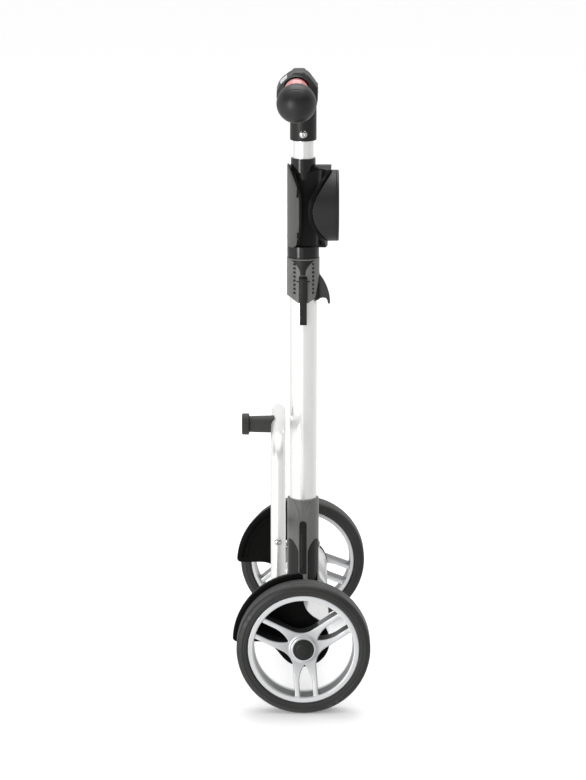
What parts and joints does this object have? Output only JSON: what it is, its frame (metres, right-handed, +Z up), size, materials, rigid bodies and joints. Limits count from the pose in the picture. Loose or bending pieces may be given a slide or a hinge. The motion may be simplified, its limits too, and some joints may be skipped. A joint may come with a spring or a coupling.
{
  "type": "folding two-wheeled trolley frame",
  "caption": "Folding hand trolley frame: two spoked wheels on an axle, upright mast with telescoping T-handle, fold-down load hoop and clamp dial.",
  "frame": {"origin": "on the ground under the middle of the wheel axis, on the mast's axis", "axes": "+Z up along the mast, +Y along the wheel axis, -X towards the load platform, +X towards the user"},
  "size_m": [0.1858, 0.483, 0.8384],
  "materials": {
    "tyre": "matt black tyre with fine mould lines",
    "rim_paint": "satin silver paint",
    "dark_plastic": "satin charcoal moulded plastic",
    "gloss_plastic": "glossy black moulded plastic",
    "grey_plastic": "satin dark grey moulded plastic",
    "soft_rubber": "soft black rubber",
    "anodised": "bright anodised aluminium tube",
    "steel": "turned and plated steel",
    "red_ring": "glossy red moulded ring",
    "insert": "pale lavender moulded insert",
    "bush": "natural acetal"
  },
  "bodies": {
    "chassis": {"axle_beam": "steel", "stub_axle_left": "steel", "stub_axle_right": "steel", "axle_clips": "steel", "mudguard_left": "dark_plastic", "mudguard_right": "dark_plastic", "guard_screws_left": "steel", "guard_screws_right": "steel", "socket_front": "grey_plastic", "socket_rear": "grey_plastic", "socket_keys": "dark_plastic", "socket_screws": "steel", "mast_bolt": "steel", "main_tube": "anodised", "collar_front": "grey_plastic", "collar_rear": "grey_plastic", "tab_pins": "steel", "tab_springs": "steel", "head_body": "gloss_plastic", "front_shield": "grey_plastic", "rear_panel": "gloss_plastic", "drum_housing": "dark_plastic", "clamp_nut": "steel", "head_screws": "steel"},
    "wheel_left": {"rim_left": "rim_paint", "tyre_left": "tyre", "wheel_bushes_left": "bush", "hub_cap_left": "dark_plastic"},
    "wheel_right": {"rim_right": "rim_paint", "tyre_right": "tyre", "wheel_bushes_right": "bush", "hub_cap_right": "dark_plastic"},
    "platform": {"platform_hoop": "anodised", "pivot_sleeve_left": "anodised", "pivot_sleeve_right": "anodised", "sleeve_bushes": "bush", "cross_bar": "steel", "hoop_bolts": "steel", "foot_body": "dark_plastic", "foot_pad": "soft_rubber"},
    "handle": {"inner_tube": "anodised", "tube_end_bush": "bush", "handle_stem": "dark_plastic", "handle_hub": "gloss_plastic", "hub_insert": "insert", "stem_screw": "steel", "grip_stud_left": "steel", "grip_stud_right": "steel", "ring_left": "red_ring", "ring_right": "red_ring", "grip_left": "soft_rubber", "grip_right": "soft_rubber"},
    "dial": {"clamp_dial": "dark_plastic", "clamp_spindle": "steel"},
    "shoe": {"brake_shoe": "bush"},
    "tab_left": {"release_tab_left": "dark_plastic"},
    "tab_right": {"release_tab_right": "dark_plastic"}
  },
  "joints": [
    {"name": "wheel_left_spin", "type": "hinge", "parent": "chassis", "child": "wheel_left", "pos_m": [0, -0.22, 0.09], "axis": [0, 1, 0], "continuous": true},
    {"name": "wheel_right_spin", "type": "hinge", "parent": "chassis", "child": "wheel_right", "pos_m": [0, 0.22, 0.09], "axis": [0, 1, 0], "continuous": true},
    {"name": "platform_fold", "type": "hinge", "parent": "chassis", "child": "platform", "pos_m": [0, 0, 0.09], "axis": [0, -1, 0], "range_deg": [0, 90]},
    {"name": "handle_slide", "type": "slide", "parent": "chassis", "child": "handle", "axis": [0, 0, 1], "range_m": [0, 0.21]},
    {"name": "dial_turn", "type": "hinge", "parent": "chassis", "child": "dial", "pos_m": [0.04, 0, 0.6524], "axis": [1, 0, 0], "range_deg": [0, 180]},
    {"name": "shoe_slide", "type": "slide", "parent": "chassis", "child": "shoe", "axis": [1, 0, 0], "range_m": [0, 0.0015]},
    {"name": "tab_left_press", "type": "hinge", "parent": "chassis", "child": "tab_left", "pos_m": [0, -0.0209, 0.55], "axis": [1, 0, 0], "range_deg": [0, 2.5], "stiffness_Nm_per_rad": 0.5, "springref_deg": -2.86},
    {"name": "tab_right_press", "type": "hinge", "parent": "chassis", "child": "tab_right", "pos_m": [0, 0.0209, 0.55], "axis": [-1, 0, 0], "range_deg": [0, 2.5], "stiffness_Nm_per_rad": 0.5, "springref_deg": -2.86}
  ],
  "couplings": [
    {"joint": "shoe_slide", "follows": "dial_turn", "m_per_rad": 0.00047699}
  ]
}
